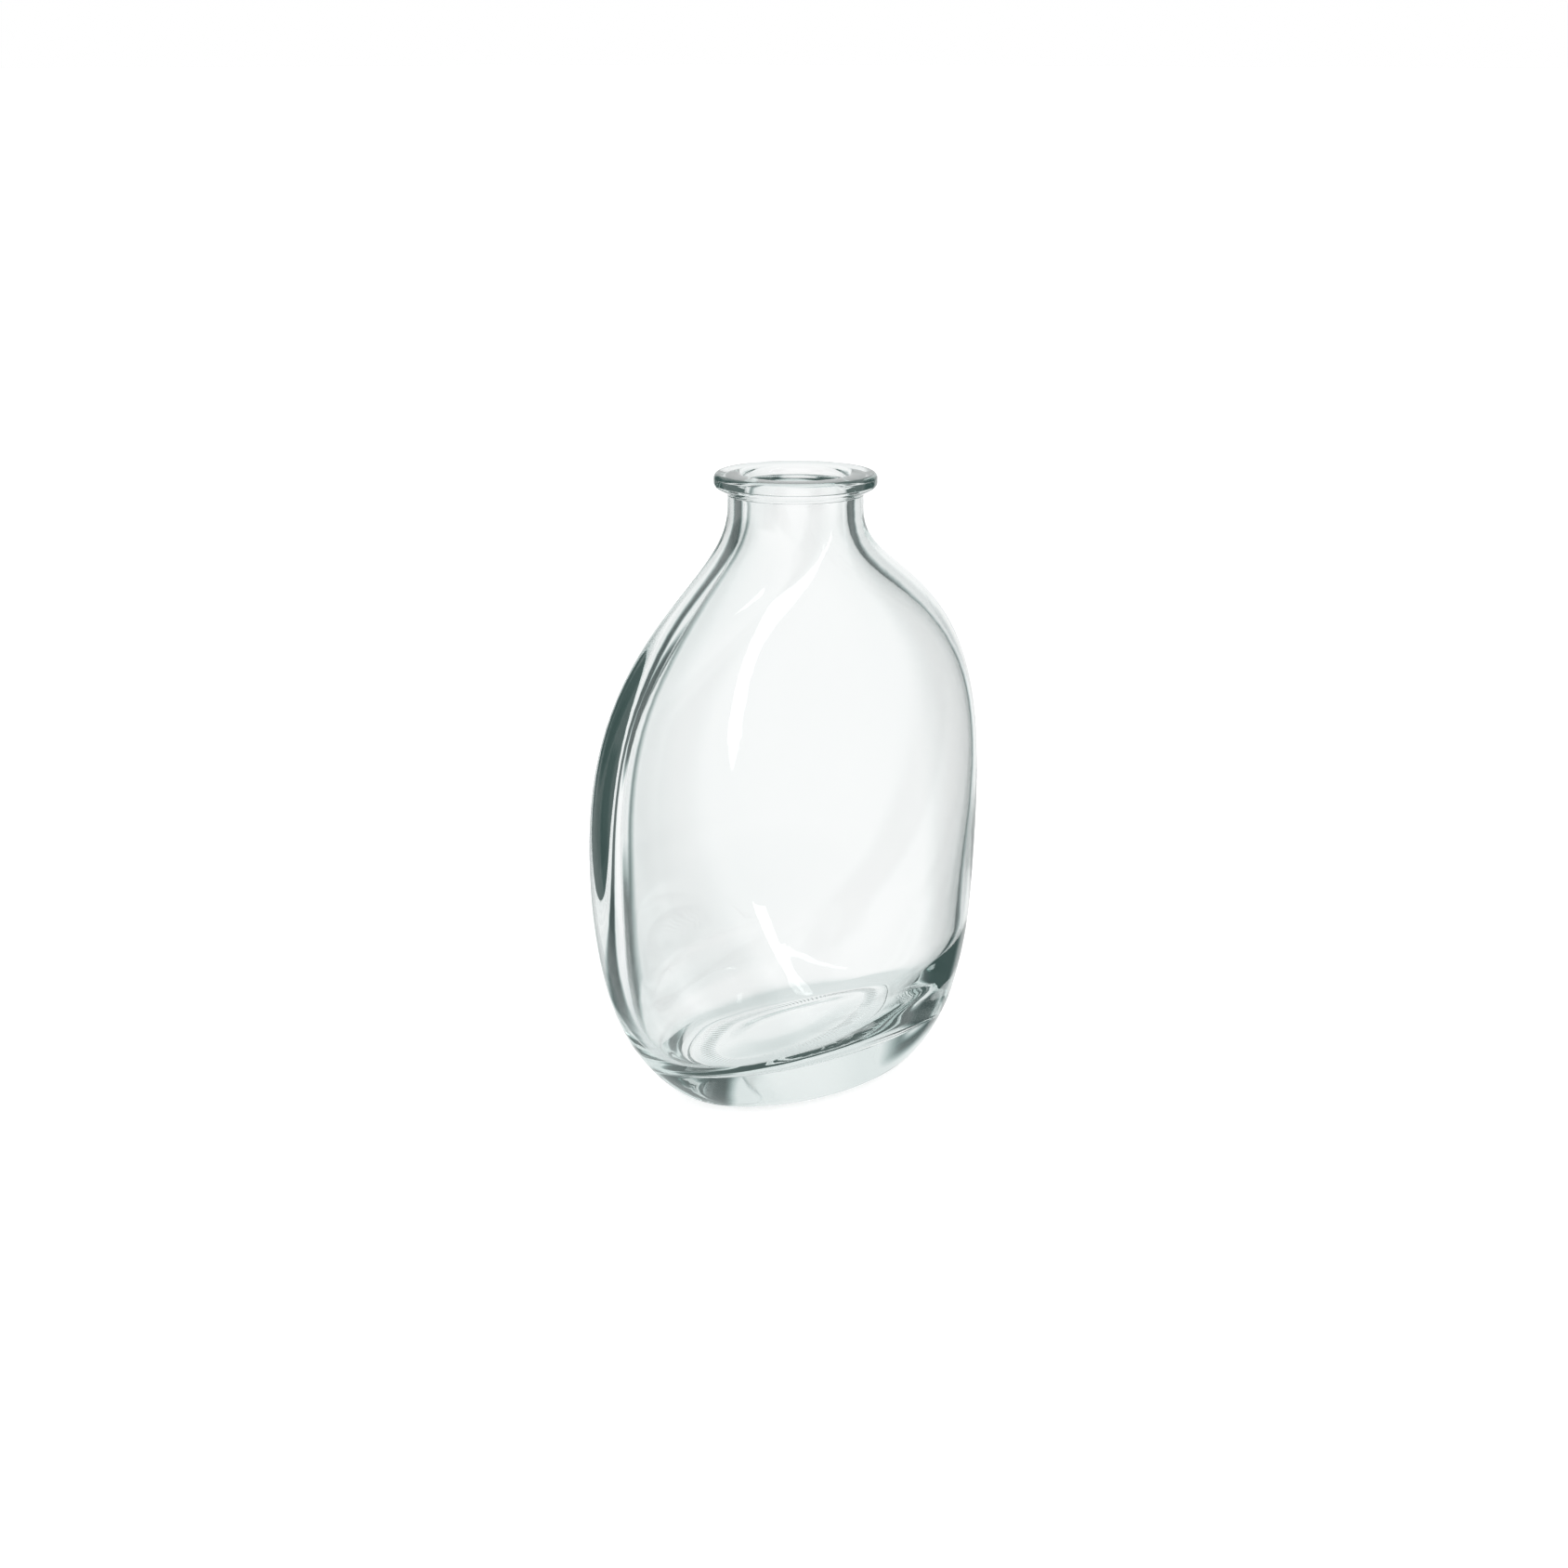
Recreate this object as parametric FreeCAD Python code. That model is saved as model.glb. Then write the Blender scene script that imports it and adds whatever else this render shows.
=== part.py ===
import FreeCAD, Part
import math
import os

# Glass bud vase. Millimetres, +Z up, +X along the wide side, +Y through the narrow side.
# The vase stands on z = 0 and the neck is on the Z axis.

# Outside
HEIGHT = 120.0
BELLY_WIDTH = 105.2      # widest along X
BELLY_AT = 56.6          # height of the widest part along X
HEEL_DEPTH = 48.4        # widest along Y
HEEL_AT = 12.7           # height of the widest part along Y
FOOT_WIDTH = 53.0        # flat foot along X
FOOT_DEPTH = 31.0        # flat foot along Y
NECK_DIA = 25.9
NECK_STRAIGHT = 6.4      # straight top of the neck, lip included
NECK_AT = HEIGHT - NECK_STRAIGHT
LIP_REACH = 2.6          # the lip stands out this far from the neck
LIP_HEIGHT = 3.5         # from the rim down to where the lip meets the neck
LIP_SIDE = 2.9           # from the rim down to the lip's lower edge
LIP_EDGE = 1.0           # rounding of the lip's two outer edges

# Inside
NECK_WALL = 3.15         # glass in the neck
BORE_DIA = NECK_DIA - 2 * NECK_WALL
FLOOR_AT = 9.8           # top of the thick base
FLOOR_WIDTH = 62.0       # flat floor along X
FLOOR_DEPTH = 33.0       # flat floor along Y
END_WALL = 4.0           # glass at the narrow ends
FACE_WALL = 2.8          # glass at the broad faces
CAVITY_SHIFT = 1.8       # the cavity sits this far towards +X at the belly
MOUTH_ROUND = 0.5
LIP_ROUND = 0.8          # fillet between lip and neck

# Underside
RING_WIDTH = 7.0         # flat ring the vase stands on
PUNT_DEPTH = 0.8         # shallow hollow inside the ring


def bezier(points, t):
    """A point on a cubic curve of (half size, height) points."""
    u = 1.0 - t
    w = (u * u * u, 3.0 * u * u * t, 3.0 * u * t * t, t * t * t)
    return [sum(w[i] * points[i][k] for i in range(4)) for k in (0, 1)]


def half_at(chain, z):
    """Half size of a chain of rising cubic curves at height z."""
    for points in chain:
        if z <= points[3][1] or points is chain[-1]:
            low, high = 0.0, 1.0
            for _ in range(50):
                mid = 0.5 * (low + high)
                if bezier(points, mid)[1] < z:
                    low = mid
                else:
                    high = mid
            return bezier(points, 0.5 * (low + high))[0]


def rise(foot, heel, belly, belly_at, lean, steep, top, neck, neck_at, round_at):
    """Two curves: from the foot out to the belly, then in to the neck."""
    low = [(foot[0], foot[1]), heel, (belly, belly_at - lean), (belly, belly_at)]
    high = [(belly, belly_at), (belly, belly_at + steep), (neck, round_at), (neck, neck_at)]
    return [low, high] if top else [low]


def outer_x():
    belly, foot, neck = BELLY_WIDTH / 2, FOOT_WIDTH / 2, NECK_DIA / 2
    up = NECK_AT - BELLY_AT
    return rise((foot, 0.0), (foot + 0.286 * (belly - foot), 0.052 * BELLY_AT), belly, BELLY_AT,
                0.584 * BELLY_AT, 0.735 * up, True, neck, NECK_AT, NECK_AT - 0.245 * up)


def outer_y():
    heel, foot, neck = HEEL_DEPTH / 2, FOOT_DEPTH / 2, NECK_DIA / 2
    up = NECK_AT - HEEL_AT
    return rise((foot, 0.0), (foot + 0.667 * (heel - foot), 0.0), heel, HEEL_AT,
                0.235 * HEEL_AT, 0.226 * up, True, neck, NECK_AT, NECK_AT - 0.847 * up)


def inner_x():
    belly, foot, bore = BELLY_WIDTH / 2 - END_WALL, FLOOR_WIDTH / 2, BORE_DIA / 2
    up, down = NECK_AT - BELLY_AT, BELLY_AT - FLOOR_AT
    return rise((foot, FLOOR_AT), (foot + 0.30 * (belly - foot), FLOOR_AT), belly, BELLY_AT,
                0.58 * down, 0.68 * up, True, bore, NECK_AT, NECK_AT - 0.29 * up)


def inner_y():
    heel_at = FLOOR_AT + HEEL_AT
    heel, foot, bore = half_at(outer_y(), heel_at) - FACE_WALL, FLOOR_DEPTH / 2, BORE_DIA / 2
    up = NECK_AT - heel_at
    return rise((foot, FLOOR_AT), (foot + 0.45 * (heel - foot), FLOOR_AT), heel, heel_at,
                0.55 * HEEL_AT, 0.03 * up, True, bore, NECK_AT, NECK_AT - 0.76 * up)


def levels(low, high, count):
    """Heights from low to high, closer together near both ends."""
    return [low + (high - low) * 0.5 * (1.0 - math.cos(math.pi * i / count)) for i in range(count + 1)]


def oval(half_x, half_y, z, shift=0.0):
    """A closed oval wire, starting on its +X end."""
    curve = Part.Ellipse(FreeCAD.Vector(shift, 0, z), max(half_x, half_y), min(half_x, half_y))
    return Part.Wire(curve.toShape())


def skin(chain_x, chain_y, low, high, count, shift):
    """A solid through ovals whose half sizes follow the two chains."""
    wires = []
    for z in levels(low, high, count):
        bump = math.sin(math.pi * (z - low) / (high - low)) ** 2
        half_x = half_at(chain_x, z)
        half_y = min(half_at(chain_y, z), half_x)
        wires.append(oval(half_x, half_y, z, shift * bump))
    return Part.makeLoft(wires, True, False, False)


def lip():
    """The straight top of the neck with its rolled lip, turned about Z."""
    bore, neck, rim = BORE_DIA / 2, NECK_DIA / 2, NECK_DIA / 2 + LIP_REACH
    under, edge = HEIGHT - LIP_HEIGHT, LIP_EDGE
    s = math.sqrt(0.5)

    def at(r, z):
        return FreeCAD.Vector(r, 0, z)

    edges = [
        Part.makeLine(at(bore, NECK_AT), at(bore, HEIGHT - MOUTH_ROUND)),
        Part.Arc(at(bore, HEIGHT - MOUTH_ROUND),
                 at(bore + MOUTH_ROUND * (1 - s), HEIGHT - MOUTH_ROUND * (1 - s)),
                 at(bore + MOUTH_ROUND, HEIGHT)).toShape(),
        Part.makeLine(at(bore + MOUTH_ROUND, HEIGHT), at(rim - edge, HEIGHT)),
        Part.Arc(at(rim - edge, HEIGHT), at(rim - edge * (1 - s), HEIGHT - edge * (1 - s)),
                 at(rim, HEIGHT - edge)).toShape(),
        Part.makeLine(at(rim, HEIGHT - edge), at(rim, HEIGHT - LIP_SIDE + edge)),
        Part.Arc(at(rim, HEIGHT - LIP_SIDE + edge),
                 at(rim - edge * (1 - s), HEIGHT - LIP_SIDE + edge * (1 - s)),
                 at(rim - edge, HEIGHT - LIP_SIDE)).toShape(),
        Part.makeLine(at(rim - edge, HEIGHT - LIP_SIDE), at(neck + LIP_ROUND, under)),
        Part.Arc(at(neck + LIP_ROUND, under),
                 at(neck + LIP_ROUND * (1 - s), under - LIP_ROUND * (1 - s)),
                 at(neck, under - LIP_ROUND)).toShape(),
        Part.makeLine(at(neck, under - LIP_ROUND), at(neck, NECK_AT)),
        Part.makeLine(at(neck, NECK_AT), at(bore, NECK_AT)),
    ]
    face = Part.Face(Part.Wire(edges))
    return face.revolve(FreeCAD.Vector(0, 0, 0), FreeCAD.Vector(0, 0, 1), 360)


def punt():
    """The shallow oval hollow under the base, inside the ring it stands on."""
    half_x, half_y = FOOT_WIDTH / 2 - RING_WIDTH, FOOT_DEPTH / 2 - RING_WIDTH
    below = oval(half_x + PUNT_DEPTH, half_y + PUNT_DEPTH, -PUNT_DEPTH)
    above = oval(half_x - PUNT_DEPTH, half_y - PUNT_DEPTH, PUNT_DEPTH)
    return Part.makeLoft([below, above], True, True, False)


def vase_glass():
    body = skin(outer_x(), outer_y(), 0.0, NECK_AT, 24, 0.0)
    cavity = skin(inner_x(), inner_y(), FLOOR_AT, NECK_AT, 24, CAVITY_SHIFT)
    glass = body.cut(cavity).cut(punt()).fuse(lip())
    return glass.removeSplitter()


os.makedirs("parts", exist_ok=True)
vase_glass().exportStep("parts/vase_glass.step")
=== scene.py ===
import bpy
import math
from mathutils import Matrix, Vector


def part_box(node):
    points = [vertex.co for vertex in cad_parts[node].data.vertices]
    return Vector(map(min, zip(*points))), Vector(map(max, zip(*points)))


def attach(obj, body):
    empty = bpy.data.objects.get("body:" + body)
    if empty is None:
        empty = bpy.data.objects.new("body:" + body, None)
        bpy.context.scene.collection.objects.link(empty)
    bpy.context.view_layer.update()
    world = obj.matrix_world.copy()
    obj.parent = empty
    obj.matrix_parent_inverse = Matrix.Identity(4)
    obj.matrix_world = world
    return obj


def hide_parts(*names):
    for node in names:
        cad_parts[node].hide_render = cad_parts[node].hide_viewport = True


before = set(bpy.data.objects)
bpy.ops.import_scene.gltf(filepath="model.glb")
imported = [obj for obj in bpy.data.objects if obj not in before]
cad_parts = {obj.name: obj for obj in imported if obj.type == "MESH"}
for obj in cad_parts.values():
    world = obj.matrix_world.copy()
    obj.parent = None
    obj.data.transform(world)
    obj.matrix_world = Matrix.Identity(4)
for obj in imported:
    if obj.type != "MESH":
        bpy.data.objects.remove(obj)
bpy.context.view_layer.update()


# ---------------------------------------------------------------------------------------------
# The glass of the vase. One piece of clear soda-lime glass, blown in a mould onto a heavy pressed
# base, its lip turned over and fire polished. The inside is freer than the outside, so the wall
# runs a little thick and thin, and the foot stands on an oval ring of fine moulded ribs.

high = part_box("vase_glass")[1]
HEIGHT = high[2]
BELLY = high[0]
HEEL = high[1]
BELLY_AT = 0.0566
HEEL_AT = 0.0127
FOOT_X = 0.0265
FOOT_Y = 0.0155
NECK = 0.01295
BORE = 0.0098
LIP = 0.01555
LIP_HEIGHT = 0.0035
LIP_SIDE = 0.0029
LIP_EDGE = 0.0010
MOUTH_ROUND = 0.0014
UNDER_LIP = 0.0008
NECK_AT = HEIGHT - 0.0064
FLOOR_AT = 0.0098
FLOOR_X = 0.0310
FLOOR_Y = 0.0165
END_WALL = 0.0040
FACE_WALL = 0.0028
CAVITY_SHIFT = 0.0018
RING = 0.0070
PUNT = 0.0005


def bezier(points, t):
    """A point on a cubic curve of (half size, height) points."""
    u = 1.0 - t
    w = (u * u * u, 3.0 * u * u * t, 3.0 * u * t * t, t * t * t)
    return [sum(w[i] * points[i][k] for i in range(4)) for k in (0, 1)]


def half_at(chain, z):
    """Half size of a chain of rising cubic curves at height z."""
    for points in chain:
        if z <= points[3][1] or points is chain[-1]:
            below, above = 0.0, 1.0
            for _ in range(50):
                middle = 0.5 * (below + above)
                if bezier(points, middle)[1] < z:
                    below = middle
                else:
                    above = middle
            return bezier(points, 0.5 * (below + above))[0]


def rise(foot, heel, belly, belly_at, lean, steep, neck, round_at):
    """Two curves: from the foot out to the belly, then in to the neck."""
    return [[foot, heel, (belly, belly_at - lean), (belly, belly_at)],
            [(belly, belly_at), (belly, belly_at + steep), (neck, round_at), (neck, NECK_AT)]]


# The ends of the oval, outside and inside, then its broad faces.
up = NECK_AT - BELLY_AT
cavity = BELLY - END_WALL
outer_x = rise((FOOT_X, 0.0), (FOOT_X + 0.286 * (BELLY - FOOT_X), 0.052 * BELLY_AT), BELLY, BELLY_AT,
               0.584 * BELLY_AT, 0.735 * up, NECK, NECK_AT - 0.245 * up)
inner_x = rise((FLOOR_X, FLOOR_AT), (FLOOR_X + 0.30 * (cavity - FLOOR_X), FLOOR_AT), cavity, BELLY_AT,
               0.58 * (BELLY_AT - FLOOR_AT), 0.68 * up, BORE, NECK_AT - 0.29 * up)
up = NECK_AT - HEEL_AT
outer_y = rise((FOOT_Y, 0.0), (FOOT_Y + 0.667 * (HEEL - FOOT_Y), 0.0), HEEL, HEEL_AT,
               0.235 * HEEL_AT, 0.226 * up, NECK, NECK_AT - 0.847 * up)
heel_at = FLOOR_AT + HEEL_AT
heel = half_at(outer_y, heel_at) - FACE_WALL
up = NECK_AT - heel_at
inner_y = rise((FLOOR_Y, FLOOR_AT), (FLOOR_Y + 0.45 * (heel - FLOOR_Y), FLOOR_AT), heel, heel_at,
               0.55 * HEEL_AT, 0.03 * up, BORE, NECK_AT - 0.76 * up)

rail = []


def station(x, y, z, shift=0.0, ribbed=0.0, inside=0.0):
    """One row of the glass: its two half sizes, its height, and what is done to it."""
    rail.append((x, y, z, shift, ribbed, inside))


def arc(middle_r, middle_z, radius, start, end, count):
    """Rows round a bend of the lip, from one angle to the other."""
    for i in range(count + 1):
        t = math.radians(start + (end - start) * i / count)
        r = middle_r + radius * math.cos(t)
        station(r, r, middle_z + radius * math.sin(t))


# The rail starts under the middle of the base and ends on the middle of the floor inside. First
# the hollow under the base, then the ring with its ribs, and the small step of the mould.
PUNT_ROWS = 8
punt_x, punt_y = FOOT_X - RING, FOOT_Y - RING
for k in (0.0, 0.2, 0.4):
    station(k * punt_x, k * punt_y, PUNT)
for i in range(PUNT_ROWS + 1):
    k = i / PUNT_ROWS
    reach = 0.55 + 0.49 * k
    station(reach * punt_x, reach * punt_y, PUNT * (1.0 - k * k * (3.0 - 2.0 * k)))
for k, tooth in ((0.14, 0.0), (0.24, 0.8), (0.34, 1.0), (0.44, 1.0),
                 (0.54, 0.8), (0.64, 0.0), (0.82, 0.0), (1.0, 0.0)):
    station(punt_x + k * RING, punt_y + k * RING, 0.0, 0.0, tooth)
for out, z in ((0.00010, 0.00010), (0.00016, 0.00024), (0.00030, 0.00036), (0.00056, 0.00042)):
    station(FOOT_X + out, FOOT_Y + out, z)

# The outside, with closer rows round the heel.
HEEL_TOP = 0.0160
HEEL_ROWS = 26
FIRST_HEEL_ROW = 5
SIDE_ROWS = 40
for i in range(FIRST_HEEL_ROW, HEEL_ROWS + 1):
    z = HEEL_TOP * (i / HEEL_ROWS) ** 2
    station(half_at(outer_x, z), half_at(outer_y, z), z)
for i in range(1, SIDE_ROWS + 1):
    k = i / SIDE_ROWS
    z = HEEL_TOP + (NECK_AT - HEEL_TOP) * (0.35 * k + 0.65 * math.sin(0.5 * math.pi * k))
    station(half_at(outer_x, z), half_at(outer_y, z), z)

# The lip, round into the mouth.
under = HEIGHT - LIP_HEIGHT
station(NECK, NECK, under - 2.0 * UNDER_LIP)
arc(NECK + UNDER_LIP, under - UNDER_LIP, UNDER_LIP, 180, 90, 4)
arc(LIP - LIP_EDGE, HEIGHT - LIP_SIDE + LIP_EDGE, LIP_EDGE, -75, 0, 5)
arc(LIP - LIP_EDGE, HEIGHT - LIP_EDGE, LIP_EDGE, 0, 90, 6)
arc(BORE + MOUTH_ROUND, HEIGHT - MOUTH_ROUND, MOUTH_ROUND, 90, 180, 6)

# The inside, down to the floor. The cavity stands off to one end of the oval at the belly.
INNER_ROWS = 48
for i in range(INNER_ROWS):
    u = 1.0 - i / INNER_ROWS
    z = FLOOR_AT + (NECK_AT - FLOOR_AT) * (0.5 * u * u + 0.5 * u * u * (3.0 - 2.0 * u))
    shift = CAVITY_SHIFT * math.sin(math.pi * (z - FLOOR_AT) / (NECK_AT - FLOOR_AT)) ** 2
    station(half_at(inner_x, z), half_at(inner_y, z), z, shift, 0.0, 1.0)
for k in (1.0, 0.8, 0.6, 0.4, 0.2, 0.0):
    station(k * FLOOR_X, k * FLOOR_Y, FLOOR_AT, 0.0, 0.0, 1.0)

rail_mesh = bpy.data.meshes.new("vase_rail")
rail_mesh.from_pydata([row[:3] for row in rail], [(i, i + 1) for i in range(len(rail) - 1)], [])
for k, label in ((3, "shift"), (4, "ribbed"), (5, "inside")):
    values = [row[k] for row in rail]
    rail_mesh.attributes.new(label, "FLOAT", "POINT").data.foreach_set("value", values)

# The tree wraps the rail round the axis as ovals, cuts the ribs and lets the inner wall wander.
turn = bpy.data.node_groups.new("turn_oval_glass", "GeometryNodeTree")
turn.interface.new_socket("Geometry", in_out="INPUT", socket_type="NodeSocketGeometry")
for label, kind, value in (("Columns", "NodeSocketInt", 600), ("Ribs", "NodeSocketInt", 120),
                           ("Rib Depth", "NodeSocketFloat", 0.00014),
                           ("Wave Depth", "NodeSocketFloat", 0.00010),
                           ("Wave Scale", "NodeSocketFloat", 42.0),
                           ("Wave Seed", "NodeSocketFloat", 3.7)):
    turn.interface.new_socket(label, in_out="INPUT", socket_type=kind).default_value = value
turn.interface.new_socket("Glass", in_out="INPUT", socket_type="NodeSocketMaterial")
turn.interface.new_socket("Geometry", in_out="OUTPUT", socket_type="NodeSocketGeometry")


def turn_node(kind, inputs=None, **settings):
    """A node of the tree, with its settings, and its inputs linked or set."""
    node = turn.nodes.new(kind)
    for key, value in settings.items():
        setattr(node, key, value)
    for key, value in (inputs or {}).items():
        if isinstance(value, bpy.types.NodeSocket):
            turn.links.new(value, node.inputs[key])
        else:
            node.inputs[key].default_value = value
    return node


def turn_sum(operation, a, b=None, c=None):
    """The result of one sum in the tree."""
    values = {i: v for i, v in enumerate((a, b, c)) if v is not None}
    return turn_node("ShaderNodeMath", values, operation=operation).outputs[0]


given = turn_node("NodeGroupInput").outputs
size = turn_node("GeometryNodeAttributeDomainSize", {"Geometry": given["Geometry"]}, component="MESH")
count = size.outputs["Point Count"]
columns = turn_node("FunctionNodeIntegerMath", {0: given["Columns"], 1: 1}, operation="ADD").outputs[0]
grid = turn_node("GeometryNodeMeshGrid",
                 {"Size X": 1.0, "Size Y": 1.0, "Vertices X": columns, "Vertices Y": count})
index = turn_node("GeometryNodeInputIndex").outputs[0]
row = turn_node("FunctionNodeIntegerMath", {0: index, 1: count}, operation="MODULO").outputs[0]
column = turn_node("FunctionNodeIntegerMath", {0: index, 1: count}, operation="DIVIDE_FLOOR").outputs[0]
angle = turn_sum("MULTIPLY", turn_sum("DIVIDE", column, given["Columns"]), 2.0 * math.pi)


def along_rail(kind, value):
    """A value of the rail, picked for each row of the grid."""
    picked = turn.nodes.new("GeometryNodeSampleIndex")
    picked.data_type = kind
    turn.links.new(given["Geometry"], picked.inputs["Geometry"])
    turn.links.new(value, picked.inputs["Value"])
    turn.links.new(row, picked.inputs["Index"])
    return picked.outputs["Value"]


def named(label):
    """An attribute of the mesh, by its name."""
    node = turn_node("GeometryNodeInputNamedAttribute", {"Name": label}, data_type="FLOAT")
    return node.outputs["Attribute"]


RIB_SPREAD = 0.135
SEAM_GAP = 0.000002
place = along_rail("FLOAT_VECTOR", turn_node("GeometryNodeInputPosition").outputs[0])
place = turn_node("ShaderNodeSeparateXYZ", {0: place}).outputs
shift = along_rail("FLOAT", named("shift"))
ribbed = along_rail("FLOAT", named("ribbed"))
inside = along_rail("FLOAT", named("inside"))
x = turn_sum("ADD", turn_sum("MULTIPLY", place[0], turn_sum("COSINE", angle)), shift)
y = turn_sum("MULTIPLY", place[1], turn_sum("SINE", angle))
twice = turn_sum("SINE", turn_sum("MULTIPLY", angle, 2.0))
even = turn_sum("MULTIPLY_ADD", twice, -RIB_SPREAD, angle)
tooth = turn_sum("COSINE", turn_sum("MULTIPLY", even, given["Ribs"]))
tooth = turn_sum("MULTIPLY_ADD", tooth, -0.5, 0.5)
tooth = turn_sum("MULTIPLY", turn_sum("MULTIPLY", tooth, ribbed), given["Rib Depth"])
z = turn_sum("ADD", place[2], tooth)
spot = turn_node("ShaderNodeCombineXYZ", {0: x, 1: y, 2: z}).outputs[0]
keep = turn_node("GeometryNodeStoreNamedAttribute",
                 {"Geometry": grid.outputs["Mesh"], "Name": "inner_wall", "Value": inside},
                 data_type="FLOAT", domain="POINT").outputs[0]
shell = turn_node("GeometryNodeSetPosition", {"Geometry": keep, "Position": spot}).outputs[0]
shell = turn_node("GeometryNodeMergeByDistance", {"Geometry": shell, "Distance": SEAM_GAP}).outputs[0]
wave = turn_node("ShaderNodeTexNoise",
                 {"W": given["Wave Seed"], "Scale": given["Wave Scale"], "Detail": 1.0},
                 noise_dimensions="4D").outputs[0]
wave = turn_sum("MULTIPLY", turn_sum("SUBTRACT", wave, 0.5), given["Wave Depth"])
wave = turn_sum("MULTIPLY", turn_sum("MULTIPLY", wave, 2.0), named("inner_wall"))
push = turn_node("ShaderNodeVectorMath", {0: turn_node("GeometryNodeInputNormal").outputs[0]},
                 operation="SCALE")
turn.links.new(wave, push.inputs["Scale"])
shell = turn_node("GeometryNodeSetPosition", {"Geometry": shell, "Offset": push.outputs[0]}).outputs[0]
shell = turn_node("GeometryNodeRemoveAttribute", {"Geometry": shell, "Name": "inner_wall"}).outputs[0]
shell = turn_node("GeometryNodeSetShadeSmooth", {"Geometry": shell}).outputs[0]
shell = turn_node("GeometryNodeRealizeInstances", {"Geometry": shell}).outputs[0]
shell = turn_node("GeometryNodeSetMaterial", {"Geometry": shell, "Material": given["Glass"]}).outputs[0]
turn_node("NodeGroupOutput", {"Geometry": shell})

# Clear glass, greener where it is thick, with a faint ripple left by the mould, and painted shade: its
# colour darkens to grey-green where it is seen edge on.
clear_glass = bpy.data.materials.new("clear_glass")
clear_glass.use_nodes = True
glass_nodes = clear_glass.node_tree.nodes
glass_links = clear_glass.node_tree.links
skin = glass_nodes["Principled BSDF"]
skin.inputs["Roughness"].default_value = 0.0
skin.inputs["Metallic"].default_value = 0.0
skin.inputs["IOR"].default_value = 1.52
skin.inputs["Transmission Weight"].default_value = 1.0
body = glass_nodes.new("ShaderNodeVolumeAbsorption")
body.inputs["Color"].default_value = (0.60, 0.72, 0.70, 1.0)
body.inputs["Density"].default_value = 8.0
glass_links.new(body.outputs["Volume"], glass_nodes["Material Output"].inputs["Volume"])
grain = glass_nodes.new("ShaderNodeTexCoord")
ripple = glass_nodes.new("ShaderNodeTexNoise")
ripple.inputs["Scale"].default_value = 90.0
ripple.inputs["Detail"].default_value = 2.0
glass_links.new(grain.outputs["Object"], ripple.inputs["Vector"])
relief = glass_nodes.new("ShaderNodeBump")
relief.inputs["Strength"].default_value = 0.15
relief.inputs["Distance"].default_value = 0.0002
glass_links.new(ripple.outputs["Fac"], relief.inputs["Height"])
glass_links.new(relief.outputs["Normal"], skin.inputs["Normal"])
# Painted shade: the colour of the glass turns grey-green where it is seen edge on, which draws dark edges
# round it.
painted_edge_shade_weight = glass_nodes.new("ShaderNodeLayerWeight")
painted_edge_shade_weight.inputs["Blend"].default_value = 0.25
painted_edge_shade = glass_nodes.new("ShaderNodeMix")
painted_edge_shade.data_type = "RGBA"
painted_edge_shade.inputs["A"].default_value = (0.997, 1.0, 0.999, 1.0)
painted_edge_shade.inputs["B"].default_value = (0.86, 0.90, 0.895, 1.0)
glass_links.new(painted_edge_shade_weight.outputs["Facing"], painted_edge_shade.inputs["Factor"])
glass_links.new(painted_edge_shade.outputs["Result"], skin.inputs["Base Color"])

# Light that has turned twelve times inside the glass is not followed further. There the glass glows a
# deep grey-green instead of going black: painted light that stands in for the light thick glass would let
# through.
LAST_TURN = 12
travel = glass_nodes.new("ShaderNodeLightPath")
trapped = glass_nodes.new("ShaderNodeMath")
trapped.operation = "COMPARE"
trapped.inputs[1].default_value = LAST_TURN
trapped.inputs[2].default_value = 0.5
glass_links.new(travel.outputs["Glossy Depth"], trapped.inputs[0])
painted_trapped_glow = glass_nodes.new("ShaderNodeMix")
painted_trapped_glow.data_type = "RGBA"
painted_trapped_glow.inputs["A"].default_value = (0.0, 0.0, 0.0, 1.0)
painted_trapped_glow.inputs["B"].default_value = (0.080, 0.118, 0.113, 1.0)
glass_links.new(trapped.outputs[0], painted_trapped_glow.inputs["Factor"])
glass_links.new(painted_trapped_glow.outputs["Result"], skin.inputs["Emission Color"])
skin.inputs["Emission Strength"].default_value = 1.0
clear_glass.cycles.emission_sampling = "NONE"

glass_shape = bpy.data.objects.new("glass_rail", rail_mesh)
bpy.context.collection.objects.link(glass_shape)
turning = glass_shape.modifiers.new("turn", "NODES")
turning.node_group = turn
for item in turn.interface.items_tree:
    if item.in_out == "INPUT" and item.name == "Glass":
        turning[item.identifier] = clear_glass
depsgraph = bpy.context.evaluated_depsgraph_get()
glass_mesh = bpy.data.meshes.new_from_object(glass_shape.evaluated_get(depsgraph))
glass_mesh.name = "vase_body"
vase = bpy.data.objects.new("vase_body", glass_mesh)
bpy.context.collection.objects.link(vase)
bpy.data.objects.remove(glass_shape)
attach(vase, "root")
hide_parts("vase_glass")


# ---------------------------------------------------------------------------------------------
# The table top it stands on: a wide sheet of plain white board, lit so that it carries on white
# behind the glass. The glass looks past it to the studio, where the soft dark flags hang.

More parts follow.
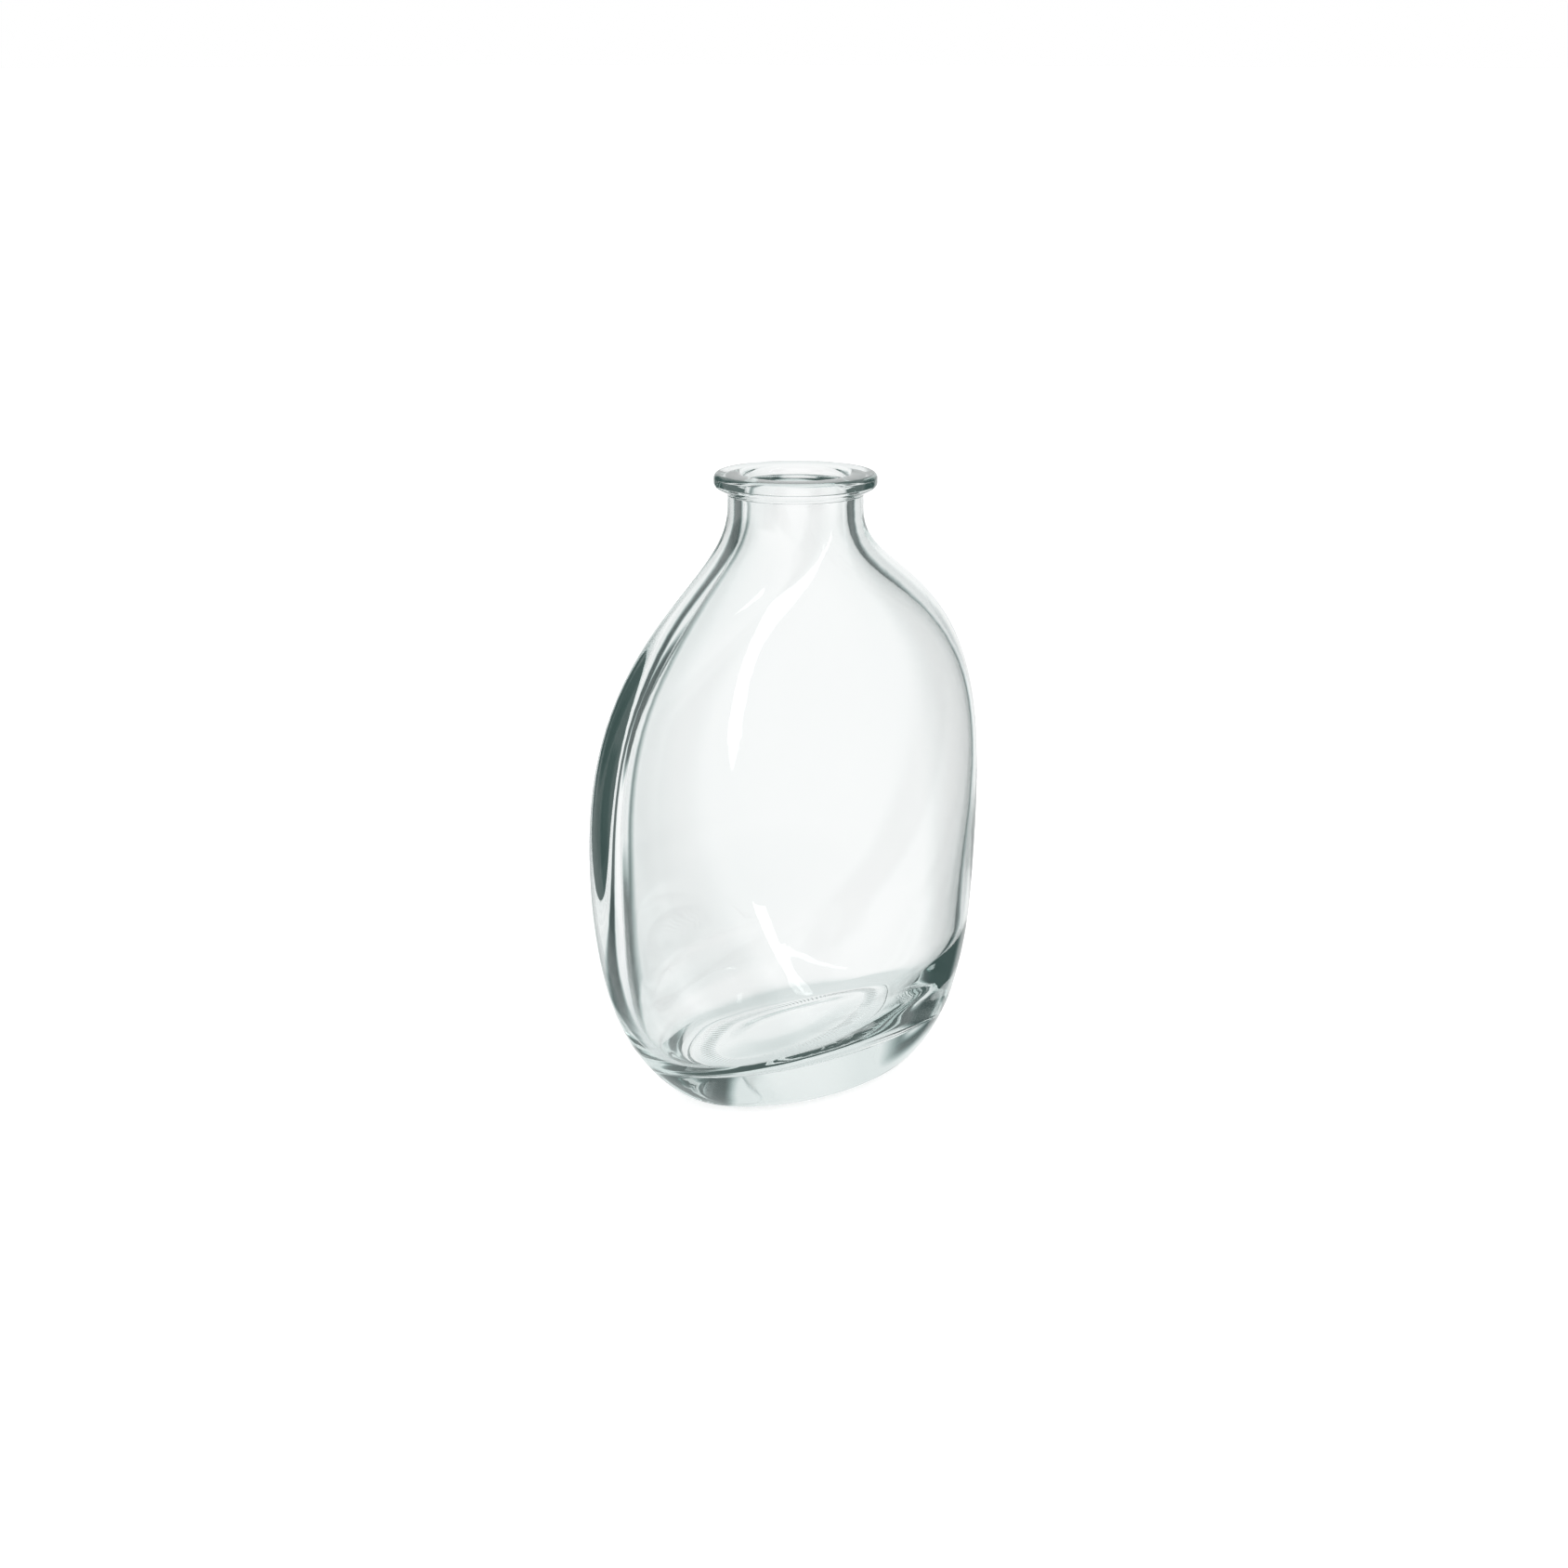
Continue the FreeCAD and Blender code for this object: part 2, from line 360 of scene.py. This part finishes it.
BOARD_SIZE = 60.0
BOARD_DROP = 0.0003
bpy.ops.mesh.primitive_plane_add(size=BOARD_SIZE, location=(0.0, 0.0, -BOARD_DROP))
board = bpy.context.object
board.name = "white_board"
board_white = bpy.data.materials.new("board_white")
board_white.use_nodes = True
paper = board_white.node_tree.nodes["Principled BSDF"]
paper.inputs["Base Color"].default_value = (0.80, 0.80, 0.80, 1.0)
paper.inputs["Roughness"].default_value = 0.9
paper.inputs["Specular IOR Level"].default_value = 0.0
paper.inputs["Emission Color"].default_value = (1.0, 1.0, 1.0, 1.0)
paper.inputs["Emission Strength"].default_value = 0.68
board.data.materials.append(board_white)
board.visible_transmission = False
board.visible_glossy = False


# ---------------------------------------------------------------------------------------------
# The studio: an even white surround with soft dark flags between the bright walls, which draw the
# edges of the glass, one dark card high on the left, and one long window-like softbox. Only the
# glass sees the flags and the card. The board and the camera see plain white.

FLAG_TURN = math.radians(15.0)
FLAG_SIDES = (0.12, 0.50)
FLAG_FOOT = (-0.75, -0.45)
FLAG_TOP = (0.46, 0.30)
FLAG_DARK = 0.90
GROUND_EDGE = (-0.42, -0.65)
GROUND_DARK = 0.22
ROOF_EDGE = (0.45, 0.80)
ROOF_DARK = 0.25
CARD_WAY = (-0.472, 0.756, 0.454)
CARD_EDGE = (0.85, 0.95)
OPEN_SIDES = (0.25, 0.50)
OPEN_FOOT = (-0.36, -0.28)
OPEN_TOP = (0.26, 0.18)
OPEN_CLEARS = 0.94
WALL_SIDES = (0.60, 1.0)
WALL_DARK = 0.08
SHADOW_CAST = (0.72, 1.0, 0.98, 1.0)
WHITE = (1.0, 1.0, 1.0, 1.0)

studio = bpy.data.worlds.new("studio")
bpy.context.scene.world = studio
studio.use_nodes = True
studio_nodes = studio.node_tree.nodes
studio_links = studio.node_tree.links


def studio_sum(operation, a, b):
    """The result of one sum of two values, linked or set."""
    node = studio_nodes.new("ShaderNodeMath")
    node.operation = operation
    for i, value in enumerate((a, b)):
        if isinstance(value, bpy.types.NodeSocket):
            studio_links.new(value, node.inputs[i])
        else:
            node.inputs[i].default_value = value
    return node.outputs[0]


def soft_edge(value, edge):
    """Rises softly from 0 to 1 between the two values of the edge."""
    node = studio_nodes.new("ShaderNodeMapRange")
    node.interpolation_type = "SMOOTHSTEP"
    studio_links.new(value, node.inputs["Value"])
    node.inputs["From Min"].default_value = edge[0]
    node.inputs["From Max"].default_value = edge[1]
    return node.outputs["Result"]


def band(foot, top):
    """A level band of the surround with a soft foot and top."""
    return studio_sum("MULTIPLY", soft_edge(way_z, foot), soft_edge(way_z, top))


# Each way out into the studio, and how far it lies from the flags: 0 on them, 1 between them.
outward = studio_nodes.new("ShaderNodeTexCoord").outputs["Generated"]
way = studio_nodes.new("ShaderNodeSeparateXYZ")
studio_links.new(outward, way.inputs[0])
way_x, way_y, way_z = way.outputs
level = studio_sum("ADD", studio_sum("MULTIPLY", way_x, way_x), studio_sum("MULTIPLY", way_y, way_y))
level = studio_sum("MAXIMUM", level, 0.0001)
product = studio_sum("MULTIPLY", way_x, way_y)
cross = studio_sum("MULTIPLY", product, 2.0 * math.cos(FLAG_TURN))
along = studio_sum("MULTIPLY", studio_sum("SUBTRACT", way_x, way_y), studio_sum("ADD", way_x, way_y))
along = studio_sum("MULTIPLY", along, math.sin(FLAG_TURN))
corner = studio_sum("DIVIDE", studio_sum("ADD", cross, along), level)
corner = studio_sum("MULTIPLY", corner, corner)
flags = studio_sum("SUBTRACT", 1.0, soft_edge(corner, FLAG_SIDES))
flags = studio_sum("MULTIPLY", flags, band(FLAG_FOOT, FLAG_TOP))
card = studio_nodes.new("ShaderNodeVectorMath")
card.operation = "DOT_PRODUCT"
card.inputs[1].default_value = CARD_WAY
studio_links.new(outward, card.inputs[0])
flags = studio_sum("MAXIMUM", flags, soft_edge(card.outputs["Value"], CARD_EDGE))

# Light that passes straight through the glass along the axes finds the flags mostly drawn aside,
# so the vase looks clear from its faces and ends.
sight = studio_nodes.new("ShaderNodeLightPath")
square = studio_sum("DIVIDE", studio_sum("MULTIPLY", product, 2.0), level)
opening = studio_sum("SUBTRACT", 1.0, soft_edge(studio_sum("MULTIPLY", square, square), OPEN_SIDES))
opening = studio_sum("MULTIPLY", opening, band(OPEN_FOOT, OPEN_TOP))
straight = studio_sum("LESS_THAN", sight.outputs["Glossy Depth"], 0.5)
opening = studio_sum("MULTIPLY", opening, straight)
aside = studio_sum("MULTIPLY", opening, OPEN_CLEARS)
flags = studio_sum("MULTIPLY", flags, studio_sum("SUBTRACT", 1.0, aside))

# The ground and the roof are a little grey, and so is the wall behind the flags.
ground = studio_sum("MULTIPLY", soft_edge(way_z, GROUND_EDGE), GROUND_DARK)
roof = studio_sum("MULTIPLY", soft_edge(way_z, ROOF_EDGE), ROOF_DARK)
wall = studio_sum("SUBTRACT", 1.0, soft_edge(corner, WALL_SIDES))
wall = studio_sum("MULTIPLY", wall, WALL_DARK)
wall = studio_sum("MULTIPLY", wall, studio_sum("SUBTRACT", 1.0, opening))
grey = studio_sum("MAXIMUM", studio_sum("MAXIMUM", ground, wall), roof)
dark = studio_sum("MAXIMUM", studio_sum("MULTIPLY", flags, FLAG_DARK), grey)
plain = studio_sum("MAXIMUM", sight.outputs["Is Camera Ray"], sight.outputs["Is Diffuse Ray"])
bright = studio_sum("MAXIMUM", studio_sum("SUBTRACT", 1.0, dark), plain)
cast = studio_nodes.new("ShaderNodeMix")
cast.data_type = "RGBA"
cast.inputs["A"].default_value = SHADOW_CAST
cast.inputs["B"].default_value = WHITE
studio_links.new(bright, cast.inputs["Factor"])
studio_links.new(cast.outputs["Result"], studio_nodes["Background"].inputs["Color"])
studio_links.new(bright, studio_nodes["Background"].inputs["Strength"])

# The softbox is a long strip that leans as its two ends say and faces the middle of the vase.
BOX_LOW = Vector((0.33, -0.93, -0.01))
BOX_HIGH = Vector((-0.12, -0.77, 0.97))
BOX_WIDTH = 0.055
BOX_POWER = 0.5
BOX_FACES = Vector((0.0, 0.0, 0.07))
strip = bpy.data.lights.new("window_box", "AREA")
strip.shape = "RECTANGLE"
strip.size = BOX_WIDTH
strip.size_y = (BOX_HIGH - BOX_LOW).length
strip.energy = BOX_POWER
window_box = bpy.data.objects.new("window_box", strip)
box_middle = (BOX_HIGH + BOX_LOW) / 2.0
box_long = (BOX_HIGH - BOX_LOW).normalized()
box_across = box_long.cross(box_middle - BOX_FACES).normalized()
box_turn = Matrix((box_across, box_long, box_across.cross(box_long))).transposed()
window_box.matrix_world = Matrix.Translation(box_middle) @ box_turn.to_4x4()
window_box.visible_camera = False
bpy.context.collection.objects.link(window_box)

# Light turns many times between the faces of the glass before it leaves, so it is followed far
# enough to get out again.
bpy.context.scene.cycles.max_bounces = 24
bpy.context.scene.cycles.glossy_bounces = LAST_TURN
bpy.context.scene.cycles.transmission_bounces = 24


# ---------------------------------------------------------------------------------------------
# The camera, half a metre from the vase and a little above it, round to the side of its broad
# face. It aims a hair below and to the left of the middle of the vase.

DISTANCE = 0.51
AIM = Vector((0.0, 0.0, 0.060))
AIM_LEFT = 0.00219
AIM_DOWN = 0.00129
AROUND = math.radians(46.47)
ABOVE = math.radians(15.65)
back = Vector((-math.sin(AROUND) * math.cos(ABOVE), -math.cos(AROUND) * math.cos(ABOVE), math.sin(ABOVE)))
right = Vector((math.cos(AROUND), -math.sin(AROUND), 0.0))
aim = AIM - right * AIM_LEFT - back.cross(right) * AIM_DOWN
lens = bpy.data.cameras.new("camera")
lens.sensor_width = 36.0
lens.lens = 59.93
lens.clip_start = 0.01
camera = bpy.data.objects.new("camera", lens)
camera.location = aim + back * DISTANCE
camera.rotation_euler = (-back).to_track_quat("-Z", "Y").to_euler()
bpy.context.collection.objects.link(camera)
bpy.context.scene.camera = camera
bpy.context.scene.view_settings.view_transform = "Standard"
